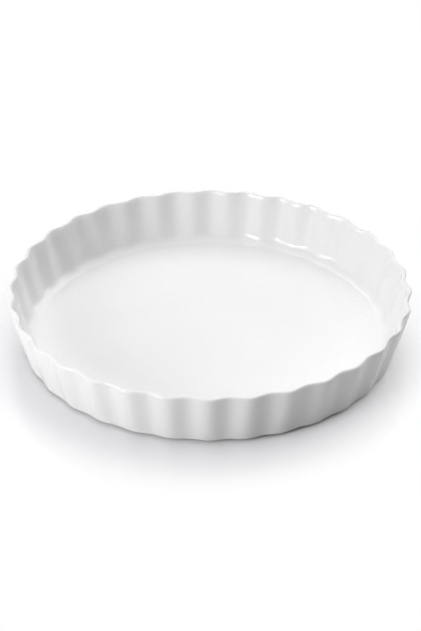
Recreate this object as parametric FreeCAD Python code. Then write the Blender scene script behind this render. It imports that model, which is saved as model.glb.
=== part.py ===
import FreeCAD, Part
import math
import os
from collections import namedtuple

# Fluted quiche dish, in millimetres and degrees.
# Origin on the table under the middle of the dish, +Z up, one flute's crest on +X.

# Overall sizes
OVERALL_DIAMETER = 270.0    # across opposite crests of the lip
HEIGHT = 40.0               # from the table to the top of the lip
BASE_DIAMETER = 249.2       # mean, across the rounded bottom edge of the wall

# Flutes
FLUTES = 32
RIM_FLUTE = 1.3             # how far a crest stands out from the mean radius at the lip
BASE_FLUTE = 0.7            # the same at the foot of the wall, outside
COVE_FLUTE = 0.82           # the same at the top of the cove, inside

# Wall and lip
LIP_THICKNESS = 3.2         # the lip is a full round of this width on the outside
LIP_INSIDE_DROP = 2.5       # how much lower than a full round the lip starts to turn over on the inside
WALL_FOOT_THICKNESS = 3.2   # fired wall and glaze together, where the wall meets the floor
WALL_BELLY = 2.0            # how many degrees the wall turns, each way, from its mean slope
BOTTOM_ROUND = 3.0          # radius of the bottom edge of the wall

# Floor
FLOOR_THICKNESS = 3.8       # fired clay and both glazes together
COVE_RADIUS = 8.5           # inside, from the floor up into the wall

# Foot ring, left bare of glaze
FOOT_HEIGHT = 1.4
FOOT_WIDTH = 4.0
FOOT_INSET = 6.6            # from the bottom edge of the wall in to the ring
FOOT_ROUND = 0.6            # on both edges that stand on the table

# Glaze
GLAZE_THICKNESS = 0.4

# Curves
POLES_PER_FLUTE = 8         # of the closed curves round the dish
PARALLEL = 1e-9             # two tangents that turn less than this, in radians, are taken as parallel

Row = namedtuple("Row", "radius height flute")
Strip = namedtuple("Strip", "start control end weight")

# Heights and radii that follow from the sizes above
FLOOR_TOP = FOOT_HEIGHT + FLOOR_THICKNESS
FOOT_OUTER_RADIUS = BASE_DIAMETER / 2 - FOOT_INSET
FOOT_INNER_RADIUS = FOOT_OUTER_RADIUS - FOOT_WIDTH
LIP_RADIUS = LIP_THICKNESS / 2

# Centres of the rounds in the section, as distance from the axis and height
LIP_CENTRE = (OVERALL_DIAMETER / 2 - RIM_FLUTE - LIP_RADIUS, HEIGHT - LIP_RADIUS)
BOTTOM_CENTRE = (BASE_DIAMETER / 2 - BOTTOM_ROUND, FOOT_HEIGHT + BOTTOM_ROUND)


def outer_slope():
    """Angle from upright of the line that touches the lip and the bottom round outside."""
    across = LIP_CENTRE[0] - BOTTOM_CENTRE[0]
    up = LIP_CENTRE[1] - BOTTOM_CENTRE[1]
    return math.atan2(across, up) - math.asin((BOTTOM_ROUND - LIP_RADIUS) / math.hypot(across, up))


def cove_centre(slope):
    """Centre of the cove that leaves the wall its foot thickness."""
    height = FLOOR_TOP + COVE_RADIUS
    outer_line = LIP_CENTRE[0] * math.cos(slope) - LIP_CENTRE[1] * math.sin(slope) + LIP_RADIUS
    distance = outer_line - WALL_FOOT_THICKNESS - COVE_RADIUS
    return ((distance + height * math.sin(slope)) / math.cos(slope), height)


def inner_slope(cove):
    """Angle from upright of the line that passes between the lip and the cove inside."""
    across = LIP_CENTRE[0] - cove[0]
    up = LIP_CENTRE[1] - cove[1]
    return math.atan2(across, up) - math.asin((LIP_RADIUS + COVE_RADIUS) / math.hypot(across, up))


OUTER_SLOPE = outer_slope()
COVE_CENTRE = cove_centre(OUTER_SLOPE)
INNER_SLOPE = inner_slope(COVE_CENTRE)


def crossing(start, start_way, end, end_way):
    """Point where the tangents at the two ends of a stretch of the section meet."""
    turn = start_way[0] * end_way[1] - start_way[1] * end_way[0]
    if abs(turn) < PARALLEL:
        return ((start[0] + end[0]) / 2, (start[1] + end[1]) / 2)
    gap = (end[0] - start[0], end[1] - start[1])
    along = (gap[0] * end_way[1] - gap[1] * end_way[0]) / turn
    return (start[0] + along * start_way[0], start[1] + along * start_way[1])


def curved_strip(start, start_way, end, end_way, flutes):
    """Strip of the skin between two points of the section, tangent to a given way at each."""
    middle = crossing(start, start_way, end, end_way)
    cosine = start_way[0] * end_way[0] + start_way[1] * end_way[1]
    weight = math.sqrt((1 + min(cosine, 1.0)) / 2)
    return Strip(Row(*start, flutes[0]), Row(*middle, flutes[1]), Row(*end, flutes[2]), weight)


def straight_strip(start, end):
    """Plain round strip between two points of the section, with no flutes."""
    way = (end[0] - start[0], end[1] - start[1])
    return curved_strip(start, way, end, way, (0.0, 0.0, 0.0))._replace(weight=1.0)


def carried_on(flute, wall_flute, arc_length, wall_length):
    """Flute at an arc's middle row that keeps the slope of the wall's crests."""
    return flute + (flute - wall_flute) * arc_length / wall_length


def away_from(point, distance, way):
    """Point of the section at a distance from another, in a given direction."""
    return (point[0] + distance * way[0], point[1] + distance * way[1])


def skin(inset):
    """Strips from the edge of the floor over the lip to the underside, inset from the finished skin."""
    belly = math.radians(WALL_BELLY)
    lip = LIP_RADIUS - inset
    cove = COVE_RADIUS + inset
    bottom = BOTTOM_ROUND - inset
    inside_low = INNER_SLOPE + belly
    inside_high = INNER_SLOPE - belly
    outside_low = OUTER_SLOPE + belly
    outside_high = OUTER_SLOPE - belly

    floor_edge = away_from(COVE_CENTRE, cove, (0.0, -1.0))
    cove_top = away_from(COVE_CENTRE, cove, (math.cos(inside_low), -math.sin(inside_low)))
    lip_side = away_from(LIP_CENTRE, lip, (-math.cos(inside_high), math.sin(inside_high)))
    lip_inside = away_from(lip_side, LIP_INSIDE_DROP, (-math.sin(inside_high), -math.cos(inside_high)))
    lip_top = away_from(LIP_CENTRE, lip, (0.0, 1.0))
    lip_outside = away_from(LIP_CENTRE, lip, (math.cos(outside_high), -math.sin(outside_high)))
    wall_foot = away_from(BOTTOM_CENTRE, bottom, (math.cos(outside_low), -math.sin(outside_low)))
    under_edge = away_from(BOTTOM_CENTRE, bottom, (0.0, -1.0))

    outward = (1.0, 0.0)
    inward = (-1.0, 0.0)
    up_low = (math.sin(inside_low), math.cos(inside_low))
    up_high = (math.sin(inside_high), math.cos(inside_high))
    down_high = (-math.sin(outside_high), -math.cos(outside_high))
    down_low = (-math.sin(outside_low), -math.cos(outside_low))

    rim = (RIM_FLUTE, RIM_FLUTE, RIM_FLUTE)
    inner_wall = curved_strip(cove_top, up_low, lip_inside, up_high, (COVE_FLUTE, RIM_FLUTE, RIM_FLUTE))
    outer_wall = curved_strip(lip_outside, down_high, wall_foot, down_low, (RIM_FLUTE, RIM_FLUTE, BASE_FLUTE))
    inner_run = math.dist(cove_top, inner_wall.control[:2])
    outer_run = math.dist(wall_foot, outer_wall.control[:2])
    cove_run = cove * math.tan((math.pi / 2 - inside_low) / 2)
    bottom_run = bottom * math.tan((math.pi / 2 - outside_low) / 2)
    cove_middle_flute = carried_on(COVE_FLUTE, RIM_FLUTE, cove_run, inner_run)
    bottom_middle_flute = carried_on(BASE_FLUTE, RIM_FLUTE, bottom_run, outer_run)
    return [
        curved_strip(floor_edge, outward, cove_top, up_low, (0.0, cove_middle_flute, COVE_FLUTE)),
        inner_wall,
        curved_strip(lip_inside, up_high, lip_top, outward, rim),
        curved_strip(lip_top, outward, lip_outside, down_high, rim),
        outer_wall,
        curved_strip(wall_foot, down_low, under_edge, inward,
                     (BASE_FLUTE, bottom_middle_flute, bottom_middle_flute)),
    ]


def foot_strips(top):
    """Strips of the foot ring, from its outer face down, under and up its inner face, with a flat between."""
    outer = FOOT_OUTER_RADIUS
    inner = FOOT_INNER_RADIUS
    plain = (0.0, 0.0, 0.0)
    down = (0.0, -1.0)
    up = (0.0, 1.0)
    inward = (-1.0, 0.0)
    outer_stand = (outer - FOOT_ROUND, 0.0)
    inner_stand = (inner + FOOT_ROUND, 0.0)
    outer_side = [
        straight_strip((outer, top), (outer, FOOT_ROUND)),
        curved_strip((outer, FOOT_ROUND), down, outer_stand, inward, plain),
    ]
    inner_side = [
        curved_strip(inner_stand, inward, (inner, FOOT_ROUND), up, plain),
        straight_strip((inner, FOOT_ROUND), (inner, top)),
    ]
    return outer_side, inner_side


def ring(row):
    """Closed curve round the axis whose radius waves once for each flute."""
    count = FLUTES * POLES_PER_FLUTE
    points = []
    for step in range(count):
        angle = 2 * math.pi * step / count
        radius = row.radius + row.flute * math.cos(FLUTES * angle)
        points.append(FreeCAD.Vector(radius * math.cos(angle), radius * math.sin(angle), row.height))
    curve = Part.BSplineCurve()
    curve.interpolate(Points=points, PeriodicFlag=True, Parameters=[float(step) for step in range(count + 1)])
    return curve


def strip_face(strip):
    """Smooth face round the axis over one strip of the section."""
    rings = [ring(strip.start), ring(strip.control), ring(strip.end)]
    poles = [list(column) for column in zip(*[curve.getPoles() for curve in rings])]
    weights = [[1.0, strip.weight, 1.0] for column in poles]
    surface = Part.BSplineSurface()
    surface.buildFromPolesMultsKnots(
        poles, rings[0].getMultiplicities(), [3, 3], rings[0].getKnots(), [0.0, 1.0],
        True, False, rings[0].Degree, 2, weights)
    return surface.toShape()


def ring_wire(row):
    """The same curve as a wire, to bound a flat face."""
    return Part.Wire(ring(row).toShape())


def disc_face(edge):
    """Flat face that closes the section across the axis."""
    return Part.Face(ring_wire(edge))


def flat_face(outer, inner):
    """Flat face between two curves at one height."""
    return Part.makeFace([ring_wire(outer), ring_wire(inner)], "Part::FaceMakerBullseye")


def closed_solid(faces):
    """Solid whose skin is the given faces, joined along their shared edges."""
    shell = Part.Compound(faces)
    shell.sewShape()
    solid = Part.Solid(shell.Shells[0] if shell.Shells else shell)
    if solid.Volume < 0:
        solid.reverse()
    return solid


def foot_edge(radius, inset):
    """Circle where the foot ring leaves the underside, inset from the finished skin."""
    return Row(radius, FOOT_HEIGHT + inset, 0.0)


def porcelain_body():
    """Fired clay: floor, fluted wall and foot ring in one piece, a glaze thickness inside the skin."""
    strips = skin(GLAZE_THICKNESS)
    outer_foot, inner_foot = foot_strips(FOOT_HEIGHT + GLAZE_THICKNESS)
    faces = [strip_face(strip) for strip in strips + outer_foot + inner_foot]
    faces.append(disc_face(strips[0].start))
    faces.append(flat_face(strips[-1].end, outer_foot[0].start))
    faces.append(flat_face(outer_foot[-1].end, inner_foot[0].start))
    faces.append(disc_face(inner_foot[-1].end))
    return closed_solid(faces)


def glaze_coat():
    """Glaze over the floor, wall, lip and bottom edge, up to the outer face of the foot ring."""
    finished = skin(0.0)
    bonded = skin(GLAZE_THICKNESS)
    faces = [strip_face(strip) for strip in finished + bonded]
    edge_rows = []
    for strips, inset in ((finished, 0.0), (bonded, GLAZE_THICKNESS)):
        edge = foot_edge(FOOT_OUTER_RADIUS, inset)
        faces.append(disc_face(strips[0].start))
        faces.append(flat_face(strips[-1].end, edge))
        edge_rows.append(edge)
    faces.append(strip_face(straight_strip(edge_rows[0][:2], edge_rows[1][:2])))
    return closed_solid(faces)


def underside_glaze():
    """Glaze on the underside, inside the foot ring."""
    finished = foot_edge(FOOT_INNER_RADIUS, 0.0)
    bonded = foot_edge(FOOT_INNER_RADIUS, GLAZE_THICKNESS)
    faces = [
        disc_face(finished),
        disc_face(bonded),
        strip_face(straight_strip(finished[:2], bonded[:2])),
    ]
    return closed_solid(faces)


os.makedirs("parts", exist_ok=True)
for piece in (porcelain_body, glaze_coat, underside_glaze):
    shape = piece()
    shape.exportStep("parts/" + piece.__name__ + ".step")
    box = shape.BoundBox
    print(piece.__name__, "valid", shape.isValid(), "volume", round(shape.Volume, 1),
          "size", round(box.XLength, 3), round(box.YLength, 3), round(box.ZLength, 3))
print("wall slope outside", round(math.degrees(OUTER_SLOPE), 2), "inside", round(math.degrees(INNER_SLOPE), 2),
      "flat floor radius", round(COVE_CENTRE[0], 2))
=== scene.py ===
"""Looks of the fluted quiche dish: glaze, bare foot ring, white table, studio lamps and camera."""
import math
from collections import namedtuple

import bpy
from mathutils import Matrix, Vector


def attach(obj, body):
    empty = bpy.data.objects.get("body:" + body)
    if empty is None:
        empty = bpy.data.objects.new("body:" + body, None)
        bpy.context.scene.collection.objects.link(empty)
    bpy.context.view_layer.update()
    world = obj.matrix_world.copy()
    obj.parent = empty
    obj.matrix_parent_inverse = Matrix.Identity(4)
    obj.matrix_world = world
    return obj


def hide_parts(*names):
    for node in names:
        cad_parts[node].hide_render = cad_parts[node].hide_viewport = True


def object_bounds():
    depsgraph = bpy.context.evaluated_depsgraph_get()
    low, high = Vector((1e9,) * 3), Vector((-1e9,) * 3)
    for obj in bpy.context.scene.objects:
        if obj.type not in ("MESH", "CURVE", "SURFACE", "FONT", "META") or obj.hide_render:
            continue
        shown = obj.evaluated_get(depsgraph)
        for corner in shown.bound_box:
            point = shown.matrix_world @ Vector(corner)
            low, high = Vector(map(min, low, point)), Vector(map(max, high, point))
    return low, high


MM = 0.001

Row = namedtuple("Row", "radius height flute")
Wave = namedtuple("Wave", "size count start")
Noise = namedtuple("Noise", "scale detail")
Lamp = namedtuple("Lamp", "name turn rise width power")

# Section of the dish, the same sizes as the solids
FLUTES = 32
RIM_FLUTE = 1.3 * MM
BASE_FLUTE = 0.7 * MM
COVE_FLUTE = 0.82 * MM
BASE_RADIUS = 124.6 * MM
LIP_RADIUS = 1.6 * MM
LIP_INSIDE_DROP = 2.5 * MM
WALL_FOOT_THICKNESS = 3.2 * MM
WALL_BELLY = math.radians(2.0)
BOTTOM_ROUND = 3.0 * MM
FLOOR_THICKNESS = 3.8 * MM
COVE_RADIUS = 8.5 * MM
FOOT_HEIGHT = 1.4 * MM
FOOT_WIDTH = 4.0 * MM
FOOT_INSET = 6.6 * MM
GLAZE_THICKNESS = 0.4 * MM

# Rolled edge of the glaze where it stops at the bare foot ring
GLAZE_EDGE_ROUND = 0.3 * MM

# Small unevenness of the fired ware, as waves round the dish; the last is a share of the flute
OVALNESS = Wave(0.12 * MM, 2, 0.6)
RIM_WAVER = Wave(0.10 * MM, 3, 2.1)
FLUTE_WAVER = Wave(0.04, 5, 1.3)

# Mesh fineness: steps round each flute, rings on a flat, rows on each bend of the section
STEPS_PER_FLUTE = 16
FLAT_RINGS = 8
FINISHED_STEPS = 12
BONDED_STEPS = 5
WALL_TIMES = 2              # a wall has this many times the rows of a bend

# Camera, worked out from the outlines of rim and base in the photograph
IMAGE_HEIGHT_PX = 631
FOCAL_PX = 2458.1
CAMERA_DISTANCE = 1.686
CAMERA_ELEVATION = math.radians(32.105)
CAMERA_ROLL = math.radians(-0.422)
CAMERA_AIM = Vector((0.00065, 0.02829, 0.0))
SENSOR_MM = 36.0            # along the longer side of the picture, which is its height

# Lamps: degrees round from the camera to the right, degrees up, width in metres, power in watts
LAMP_DISTANCE = 1.5
LAMP_AIM = Vector((0.0, 0.0, 0.02))
LAMPS = (
    Lamp("left_low", -60, 12, 0.8, 9.3),
    Lamp("front_left", -45, 22, 0.5, 6.9),
    Lamp("top", 0, 90, 2.0, 10.2),
    Lamp("back_high", 180, 52, 0.8, 8.5),
    Lamp("back_right", 135, 32, 0.8, 5.0),
    Lamp("right_high", 90, 55, 0.8, 2.8),
)

# White table: what it sends back to the dish, how it looks, and its weak gloss
TABLE_SIZE = 12.0
TABLE_BOUNCE = (0.73, 0.73, 0.73)
TABLE_WHITE = (0.965, 0.968, 1.0)
TABLE_GLOSS = 0.10
TABLE_ROUGHNESS = 0.15

# Where the table fades to plain white, as distances from a middle near the dish's
TABLE_MIDDLE = (-0.010, -0.006, 0.0)
TABLE_FADE = (0.121, 0.172)

# Colour of the surroundings where they are seen
SURROUNDINGS = (1.0, 1.0, 1.0)

# Parts of a noise's range that are spread out over a share or a roughness
NOISE_MIDDLE = (0.35, 0.65)
NOISE_WIDE = (0.3, 0.7)
NOISE_HIGH = (0.4, 0.65)

# Shares from none to all, and from all to none
RISING = (0.0, 1.0)
FALLING = (1.0, 0.0)

# Colour of the glaze: white, faint clouds, fine mottle
GLAZE_WHITE = (0.885, 0.885, 0.882)
GLAZE_SHADE = (0.862, 0.863, 0.866)
GLAZE_MOTTLE = (0.852, 0.852, 0.850)
CLOUD_NOISE = Noise(24.0, 4.0)
CLOUD_SHARE = (0.0, 0.6)
MOTTLE_NOISE = Noise(520.0, 1.5)
MOTTLE_SHARE = (0.0, 0.7)

# Warm tint where the glaze runs thin, in patches, just above the foot
THIN_GLAZE = (0.865, 0.845, 0.80)
THIN_NOISE = Noise(120.0, 2.0)
THIN_SHARE = (0.45, 1.0)
THIN_HEIGHTS = (FOOT_HEIGHT + 0.2 * MM, FOOT_HEIGHT + 2.6 * MM)

# Rare specks: cells to a metre, which cells have one, and its soft edge in cell widths
SPECK = (0.72, 0.69, 0.63)
SPECK_SCALE = 150.0
SPECK_CHOICE = (0.90, 0.91)
SPECK_EDGE = (0.03, 0.055)

# Gloss and skin of the glaze: smears, shallow waves and orange peel
GLAZE_ROUGHNESS = (0.18, 0.26)
SMEAR_NOISE = Noise(45.0, 3.0)
WAVE_NOISE = Noise(38.0, 1.0)
WAVE_DEPTH = 0.10 * MM
PEEL_NOISE = Noise(420.0, 2.0)
PEEL_DEPTH = 0.012 * MM

# Bare fired clay: grain, and blotches of wear where it stands on a shelf
CLAY_LIGHT = (0.80, 0.755, 0.68)
CLAY_DARK = (0.70, 0.65, 0.575)
CLAY_WORN = (0.52, 0.49, 0.45)
CLAY_ROUGHNESS = (0.72, 0.92)
GRAIN_NOISE = Noise(900.0, 5.0)
GRAIN_DEPTH = 0.03 * MM
WEAR_NOISE = Noise(60.0, 3.0)
WEAR_SHARE = (0.0, 0.7)
WEAR_HEIGHTS = (0.05 * MM, 0.35 * MM)

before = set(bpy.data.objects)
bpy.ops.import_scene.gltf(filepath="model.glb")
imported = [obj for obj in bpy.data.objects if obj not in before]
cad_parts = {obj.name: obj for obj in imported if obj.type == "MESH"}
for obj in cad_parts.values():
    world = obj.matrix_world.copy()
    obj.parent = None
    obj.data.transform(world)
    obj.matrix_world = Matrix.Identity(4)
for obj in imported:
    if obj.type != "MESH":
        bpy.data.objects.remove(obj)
cad_low, cad_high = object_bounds()

# Places in the section that follow from the sizes, as distance from the axis and height
OUTER_RADIUS = cad_high.x
HEIGHT = cad_high.z
FLOOR_TOP = FOOT_HEIGHT + FLOOR_THICKNESS
FOOT_OUTER_RADIUS = BASE_RADIUS - FOOT_INSET
FOOT_INNER_RADIUS = FOOT_OUTER_RADIUS - FOOT_WIDTH
LIP_CENTRE = Vector((OUTER_RADIUS - RIM_FLUTE - LIP_RADIUS, HEIGHT - LIP_RADIUS))
BOTTOM_CENTRE = Vector((BASE_RADIUS - BOTTOM_ROUND, FOOT_HEIGHT + BOTTOM_ROUND))

# Ways in the section, and the flutes along a bend: the same as at the lip, or none
OUTWARD = Vector((1.0, 0.0))
UPRIGHT = Vector((0.0, 1.0))
LIP_FLUTES = (RIM_FLUTE, RIM_FLUTE, RIM_FLUTE)
NO_FLUTES = (0.0, 0.0, 0.0)


def tangent_slope(centre, reach):
    """Angle from upright of the line that passes the lip's round and another round of the section."""
    across = LIP_CENTRE - centre
    return math.atan2(across.x, across.y) - math.asin(reach / across.length)


def cove_centre():
    """Centre of the cove that leaves the wall its foot thickness."""
    outer_line = LIP_CENTRE.x * math.cos(OUTER_SLOPE) - LIP_CENTRE.y * math.sin(OUTER_SLOPE) + LIP_RADIUS
    distance = outer_line - WALL_FOOT_THICKNESS - COVE_RADIUS
    height = FLOOR_TOP + COVE_RADIUS
    return Vector(((distance + height * math.sin(OUTER_SLOPE)) / math.cos(OUTER_SLOPE), height))


OUTER_SLOPE = tangent_slope(BOTTOM_CENTRE, BOTTOM_ROUND - LIP_RADIUS)
COVE_CENTRE = cove_centre()
INNER_SLOPE = tangent_slope(COVE_CENTRE, LIP_RADIUS + COVE_RADIUS)

# Slopes of the bellied wall at its foot and at its lip
INSIDE_LOW = INNER_SLOPE + WALL_BELLY
INSIDE_HIGH = INNER_SLOPE - WALL_BELLY
OUTSIDE_LOW = OUTER_SLOPE + WALL_BELLY
OUTSIDE_HIGH = OUTER_SLOPE - WALL_BELLY


def along(slope):
    """Direction up a wall with a given slope from upright."""
    return Vector((math.sin(slope), math.cos(slope)))


def square_to(slope):
    """Direction square to such a wall, away from the axis."""
    return Vector((math.cos(slope), -math.sin(slope)))


def crossing(start, start_way, end, end_way):
    """Point where the lines through start and end, along their ways, cross."""
    turn = start_way.x * end_way.y - start_way.y * end_way.x
    gap = end - start
    return start + start_way * ((gap.x * end_way.y - gap.y * end_way.x) / turn)


def bend(start, start_way, end, end_way, flutes, steps):
    """Rows of a conic from start to end, tangent to the given ways, without the row at the start."""
    middle = crossing(start, start_way, end, end_way)
    weight = math.sqrt((1 + start_way.dot(end_way)) / 2)
    rows = []
    for step in range(1, steps + 1):
        t = step / steps
        shares = ((1 - t) ** 2, 2 * t * (1 - t) * weight, t * t)
        whole = sum(shares)
        place = (start * shares[0] + middle * shares[1] + end * shares[2]) / whole
        flute = sum(share * value for share, value in zip(shares, flutes)) / whole
        rows.append(Row(place.x, place.y, flute))
    return rows


def carried_on(flute, radius, slope, wall_length):
    """Flute at the middle of a round that keeps the slope of the wall's crests."""
    length = radius * math.tan((math.pi / 2 - slope) / 2)
    return flute - (RIM_FLUTE - flute) * length / wall_length


def flat_rows(radius, height):
    """Rows of a flat round the axis, from near the middle to a radius."""
    return [Row(radius * ring / FLAT_RINGS, height, 0.0) for ring in range(1, FLAT_RINGS + 1)]


def lip_points(inset):
    """Where the lip leaves the inner wall, where it is highest, and where it meets the outer wall."""
    lip = LIP_RADIUS - inset
    side = LIP_CENTRE - lip * square_to(INSIDE_HIGH)
    inside = side - LIP_INSIDE_DROP * along(INSIDE_HIGH)
    top = LIP_CENTRE + lip * UPRIGHT
    outside = LIP_CENTRE + lip * square_to(OUTSIDE_HIGH)
    return inside, top, outside


def inside_rows(inset, steps):
    """Rows from the middle of the floor, through the cove and up the inner wall."""
    cove = COVE_RADIUS + inset
    floor_edge = COVE_CENTRE - cove * UPRIGHT
    cove_top = COVE_CENTRE + cove * square_to(INSIDE_LOW)
    lip_inside = lip_points(inset)[0]
    up_low = along(INSIDE_LOW)
    up_high = along(INSIDE_HIGH)
    wall_middle = crossing(cove_top, up_low, lip_inside, up_high)
    middle_flute = carried_on(COVE_FLUTE, cove, INSIDE_LOW, (wall_middle - cove_top).length)
    cove_flutes = (0.0, middle_flute, COVE_FLUTE)
    wall_flutes = (COVE_FLUTE, RIM_FLUTE, RIM_FLUTE)
    rows = flat_rows(floor_edge.x, floor_edge.y)
    rows += bend(floor_edge, OUTWARD, cove_top, up_low, cove_flutes, steps)
    rows += bend(cove_top, up_low, lip_inside, up_high, wall_flutes, WALL_TIMES * steps)
    return rows


def lip_rows(inset, steps):
    """Rows over the lip, from the inner wall to the outer one."""
    inside, top, outside = lip_points(inset)
    rows = bend(inside, along(INSIDE_HIGH), top, OUTWARD, LIP_FLUTES, steps)
    rows += bend(top, OUTWARD, outside, -along(OUTSIDE_HIGH), LIP_FLUTES, steps)
    return rows


def outside_rows(inset, steps):
    """Rows down the outer wall and round its bottom edge to the underside."""
    bottom = BOTTOM_ROUND - inset
    lip_outside = lip_points(inset)[2]
    wall_foot = BOTTOM_CENTRE + bottom * square_to(OUTSIDE_LOW)
    under_edge = BOTTOM_CENTRE - bottom * UPRIGHT
    down_high = -along(OUTSIDE_HIGH)
    down_low = -along(OUTSIDE_LOW)
    wall_middle = crossing(lip_outside, down_high, wall_foot, down_low)
    middle_flute = carried_on(BASE_FLUTE, bottom, OUTSIDE_LOW, (wall_middle - wall_foot).length)
    wall_flutes = (RIM_FLUTE, RIM_FLUTE, BASE_FLUTE)
    edge_flutes = (BASE_FLUTE, middle_flute, middle_flute)
    rows = bend(lip_outside, down_high, wall_foot, down_low, wall_flutes, WALL_TIMES * steps)
    rows += bend(wall_foot, down_low, under_edge, -OUTWARD, edge_flutes, steps)
    return rows


def skin_rows(inset, steps):
    """Rows of the section from the middle of the floor over the lip to the underside, inset from the skin."""
    return inside_rows(inset, steps) + lip_rows(inset, steps) + outside_rows(inset, steps)


def rolled_edge(wall_radius, way):
    """Rows of the rounded end of the glaze, from the underside up against the foot ring."""
    begin = Vector((wall_radius, FOOT_HEIGHT)) - way * GLAZE_EDGE_ROUND
    end = Vector((wall_radius, FOOT_HEIGHT + GLAZE_EDGE_ROUND))
    return [Row(begin.x, begin.y, 0.0)] + bend(begin, way, end, UPRIGHT, NO_FLUTES, BONDED_STEPS)


def swing(wave, angle):
    """How far a wave round the dish stands out at an angle."""
    return wave.size * math.sin(wave.count * angle + wave.start)


def on_dish(row, angle, unevenness):
    """Point of a row at an angle round the axis; the fired unevenness grows from the floor up to the lip."""
    rise = max(0.0, (row.height - FLOOR_TOP) / (HEIGHT - FLOOR_TOP)) * unevenness
    crest = row.flute * (1 + swing(FLUTE_WAVER, angle) * rise)
    reach = row.radius + crest * math.cos(FLUTES * angle) + swing(OVALNESS, angle) * rise
    level = row.height - (RIM_WAVER.size + swing(RIM_WAVER, angle)) * rise * rise
    return (reach * math.cos(angle), reach * math.sin(angle), level)


def revolve(name, finished, bonded, first_pole, last_pole):
    """Closed mesh round the axis through the finished rows and back along the bonded rows."""
    count = FLUTES * STEPS_PER_FLUTE
    marked = [(row, 1.0) for row in finished] + [(row, 0.0) for row in reversed(bonded)]
    points = [(0.0, 0.0, first_pole)]
    for row, unevenness in marked:
        points += [on_dish(row, 2 * math.pi * step / count, unevenness) for step in range(count)]
    points.append((0.0, 0.0, last_pole))
    faces = []
    for step in range(count):
        ahead = (step + 1) % count
        faces.append((0, 1 + step, 1 + ahead))
        for row in range(len(marked) - 1):
            here = 1 + row * count
            there = here + count
            faces.append((here + step, there + step, there + ahead, here + ahead))
        last = 1 + (len(marked) - 1) * count
        faces.append((last + step, len(points) - 1, last + ahead))
    mesh = bpy.data.meshes.new(name)
    mesh.from_pydata(points, [], faces)
    mesh.shade_smooth()
    piece = bpy.data.objects.new(name, mesh)
    bpy.context.scene.collection.objects.link(piece)
    return piece


def glaze_skin():
    """Glaze over floor, wall, lip and bottom edge, with a rolled edge at the foot ring."""
    finished = skin_rows(0.0, FINISHED_STEPS) + rolled_edge(FOOT_OUTER_RADIUS, -OUTWARD)
    bonded = skin_rows(GLAZE_THICKNESS, BONDED_STEPS)
    bonded.append(Row(FOOT_OUTER_RADIUS, FOOT_HEIGHT + GLAZE_THICKNESS, 0.0))
    return revolve("glaze_skin", finished, bonded, FLOOR_TOP, FLOOR_TOP - GLAZE_THICKNESS)


def underside_skin():
    """Glaze on the underside, with a rolled edge inside the foot ring."""
    finished = flat_rows(FOOT_INNER_RADIUS, FOOT_HEIGHT)[:-1] + rolled_edge(FOOT_INNER_RADIUS, OUTWARD)
    bonded = [Row(FOOT_INNER_RADIUS, FOOT_HEIGHT + GLAZE_THICKNESS, 0.0)]
    piece = revolve("underside_skin", finished, bonded, FOOT_HEIGHT, FOOT_HEIGHT + GLAZE_THICKNESS)
    piece.data.flip_normals()
    return piece


class Shading:
    """Nodes of one material or world, with short ways to add the kinds that are used here."""

    def __init__(self, owner):
        owner.use_nodes = True
        self.nodes = owner.node_tree.nodes
        self.links = owner.node_tree.links

    def feed(self, socket, value):
        """Joins a socket to another node's output, or sets it to a plain value."""
        if isinstance(value, bpy.types.NodeSocket):
            self.links.new(value, socket)
        elif isinstance(value, tuple):
            socket.default_value = (*value, 1.0)
        else:
            socket.default_value = value

    def add(self, kind, **feeds):
        """New node whose inputs, named with _ for a space, are fed with outputs or plain values."""
        node = self.nodes.new("ShaderNode" + kind)
        for name, value in feeds.items():
            self.feed(node.inputs[name.replace("_", " ")], value)
        return node

    def place_and_height(self):
        """Place on the object, and its height above the table."""
        place = self.add("TexCoord").outputs["Object"]
        return place, self.add("SeparateXYZ", Vector=place).outputs["Z"]

    def noise(self, place, noise):
        """Cloudy pattern of numbers, most of them near a half."""
        return self.add("TexNoise", Vector=place, Scale=noise.scale, Detail=noise.detail).outputs["Fac"]

    def spread(self, value, limits, results):
        """Value that goes from one result to the other between two limits, and stays there beyond."""
        node = self.add("MapRange", Value=value, From_Min=limits[0], From_Max=limits[1],
                        To_Min=results[0], To_Max=results[1])
        return node.outputs["Result"]

    def combine(self, operation, first, second):
        """Two numbers joined by an operation of arithmetic."""
        node = self.add("Math")
        node.operation = operation
        self.feed(node.inputs[0], first)
        self.feed(node.inputs[1], second)
        return node.outputs["Value"]

    def mix(self, factor, first, second):
        """Colour between two others."""
        node = self.add("Mix", Factor=factor)
        node.data_type = "RGBA"
        colours = [socket for socket in node.inputs if socket.type == "RGBA"]
        self.feed(colours[0], first)
        self.feed(colours[1], second)
        return [socket for socket in node.outputs if socket.type == "RGBA"][0]

    def blend(self, factor, first, second):
        """Surface between two others."""
        node = self.add("MixShader", Fac=factor)
        self.feed(node.inputs[1], first)
        self.feed(node.inputs[2], second)
        return node.outputs["Shader"]

    def bump(self, height, depth, under=None):
        """Tilt of the surface from a pattern of heights, on top of another tilt if one is given."""
        node = self.add("Bump", Height=height, Distance=depth)
        if under is not None:
            self.feed(node.inputs["Normal"], under)
        return node.outputs["Normal"]

    def rays(self):
        """Two switches: 1 for rays from the camera, and 1 for all rays that show the surroundings."""
        path = self.add("LightPath").outputs
        mirrored = self.combine("MAXIMUM", path["Is Glossy Ray"], path["Is Transmission Ray"])
        return path["Is Camera Ray"], self.combine("MAXIMUM", path["Is Camera Ray"], mirrored)

    def surface(self, colour, roughness, normal):
        """Feeds the main shader of a material."""
        shader = self.nodes["Principled BSDF"]
        self.feed(shader.inputs["Base Color"], colour)
        self.feed(shader.inputs["Roughness"], roughness)
        self.feed(shader.inputs["Normal"], normal)


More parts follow.
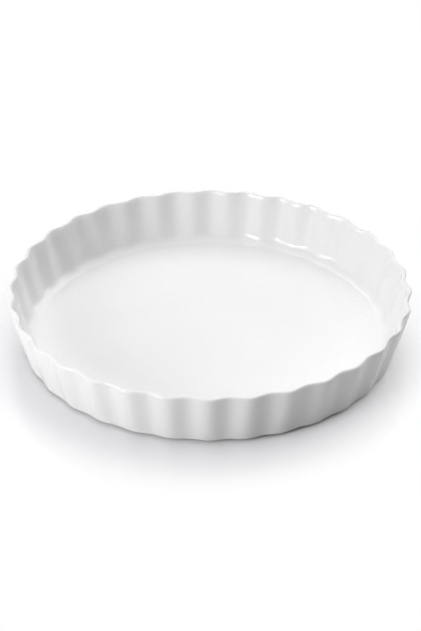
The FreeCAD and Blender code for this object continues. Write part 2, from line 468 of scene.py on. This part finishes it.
def specks(shading, place):
    """Rare pin-head specks: a small spot in a few of the cells of a cell pattern."""
    cells = shading.add("TexVoronoi", Vector=place, Scale=SPECK_SCALE)
    draw = shading.add("SeparateColor", Color=cells.outputs["Color"]).outputs["Red"]
    chosen = shading.spread(draw, SPECK_CHOICE, RISING)
    spot = shading.spread(cells.outputs["Distance"], SPECK_EDGE, FALLING)
    return shading.combine("MULTIPLY", chosen, spot)


def glaze_material():
    """White glaze: faint clouding, rare specks, a warm tint where it runs thin, and an orange-peel skin."""
    material = bpy.data.materials.new("white_glaze")
    shading = Shading(material)
    place, height = shading.place_and_height()

    cloud = shading.spread(shading.noise(place, CLOUD_NOISE), NOISE_MIDDLE, CLOUD_SHARE)
    mottle = shading.spread(shading.noise(place, MOTTLE_NOISE), NOISE_MIDDLE, MOTTLE_SHARE)
    patches = shading.spread(shading.noise(place, THIN_NOISE), NOISE_WIDE, THIN_SHARE)
    thin = shading.combine("MULTIPLY", shading.spread(height, THIN_HEIGHTS, FALLING), patches)
    colour = shading.mix(cloud, GLAZE_WHITE, GLAZE_SHADE)
    colour = shading.mix(mottle, colour, GLAZE_MOTTLE)
    colour = shading.mix(thin, colour, THIN_GLAZE)
    colour = shading.mix(specks(shading, place), colour, SPECK)

    roughness = shading.spread(shading.noise(place, SMEAR_NOISE), NOISE_WIDE, GLAZE_ROUGHNESS)
    wave = shading.bump(shading.noise(place, WAVE_NOISE), WAVE_DEPTH)
    peel = shading.bump(shading.noise(place, PEEL_NOISE), PEEL_DEPTH, wave)
    shading.surface(colour, roughness, peel)
    return material


def clay_material():
    """Bare fired clay: warm off-white, matt and fine-grained, greyed where it has stood on shelves."""
    material = bpy.data.materials.new("fired_porcelain")
    shading = Shading(material)
    place, height = shading.place_and_height()

    grain = shading.noise(place, GRAIN_NOISE)
    blotches = shading.spread(shading.noise(place, WEAR_NOISE), NOISE_HIGH, WEAR_SHARE)
    worn = shading.combine("MULTIPLY", shading.spread(height, WEAR_HEIGHTS, FALLING), blotches)
    colour = shading.mix(shading.spread(grain, NOISE_MIDDLE, RISING), CLAY_LIGHT, CLAY_DARK)
    colour = shading.mix(worn, colour, CLAY_WORN)
    roughness = shading.spread(grain, NOISE_WIDE, CLAY_ROUGHNESS)
    shading.surface(colour, roughness, shading.bump(grain, GRAIN_DEPTH))
    return material


def table_material():
    """White table top with a weak reflection of what stands on it, plain white further out."""
    material = bpy.data.materials.new("table")
    shading = Shading(material)
    shading.nodes.remove(shading.nodes["Principled BSDF"])
    from_camera, seen = shading.rays()

    matt = shading.add("BsdfDiffuse", Color=shading.mix(seen, TABLE_BOUNCE, TABLE_WHITE))
    gloss = shading.add("BsdfGlossy", Roughness=TABLE_ROUGHNESS)
    gloss_share = shading.combine("MULTIPLY", from_camera, TABLE_GLOSS)
    near = shading.blend(gloss_share, matt.outputs["BSDF"], gloss.outputs["BSDF"])

    distance = shading.add("VectorMath")
    distance.operation = "LENGTH"
    shading.feed(distance.inputs[0], shading.add("TexCoord").outputs["Object"])
    far = shading.combine("MULTIPLY", shading.spread(distance.outputs["Value"], TABLE_FADE, RISING), seen)
    whole = shading.blend(far, near, shading.add("Emission").outputs["Emission"])
    shading.feed(shading.nodes["Material Output"].inputs["Surface"], whole)
    return material


def add_table():
    """Plain table top that the dish stands on, not part of the object."""
    bpy.ops.mesh.primitive_plane_add(size=TABLE_SIZE, location=TABLE_MIDDLE)
    table = bpy.context.object
    table.name = "table"
    table.data.materials.append(table_material())


def add_world():
    """White surroundings where they are seen, none where they would light the dish."""
    world = bpy.data.worlds.new("world")
    shading = Shading(world)
    background = shading.nodes["Background"]
    shading.feed(background.inputs["Color"], SURROUNDINGS)
    shading.feed(background.inputs["Strength"], shading.rays()[1])
    bpy.context.scene.world = world


def add_camera():
    """Camera at the photograph's viewing angle, looking along +Y and down."""
    data = bpy.data.cameras.new("camera")
    data.sensor_width = SENSOR_MM
    data.lens = FOCAL_PX * SENSOR_MM / IMAGE_HEIGHT_PX
    camera = bpy.data.objects.new("camera", data)
    bpy.context.scene.collection.objects.link(camera)
    back = Vector((0, -math.cos(CAMERA_ELEVATION), math.sin(CAMERA_ELEVATION)))
    right = Vector((1, 0, 0))
    up = back.cross(right)
    rolled_right = right * math.cos(CAMERA_ROLL) - up * math.sin(CAMERA_ROLL)
    rolled_up = right * math.sin(CAMERA_ROLL) + up * math.cos(CAMERA_ROLL)
    turn = Matrix((rolled_right, rolled_up, back)).transposed().to_4x4()
    camera.matrix_world = Matrix.Translation(CAMERA_AIM + back * CAMERA_DISTANCE) @ turn
    bpy.context.scene.camera = camera


def add_lamp(lamp):
    """Square soft lamp, facing the dish."""
    data = bpy.data.lights.new(lamp.name, "AREA")
    data.size = lamp.width
    data.energy = lamp.power
    light = bpy.data.objects.new(lamp.name, data)
    bpy.context.scene.collection.objects.link(light)
    turn = math.radians(lamp.turn)
    rise = math.radians(lamp.rise)
    way = Vector((math.sin(turn) * math.cos(rise), -math.cos(turn) * math.cos(rise), math.sin(rise)))
    light.location = LAMP_AIM + way * LAMP_DISTANCE
    light.rotation_euler = (-way).to_track_quat("-Z", "Y").to_euler()


glaze = glaze_material()
for make_piece, node in ((glaze_skin, "glaze_coat"), (underside_skin, "underside_glaze")):
    piece = make_piece()
    piece.data.materials.append(glaze)
    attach(piece, "root")
    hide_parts(node)

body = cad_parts["porcelain_body"]
body.data.materials.clear()
body.data.materials.append(clay_material())

add_table()
add_world()
add_camera()
for lamp in LAMPS:
    add_lamp(lamp)
bpy.context.scene.view_settings.view_transform = "Standard"
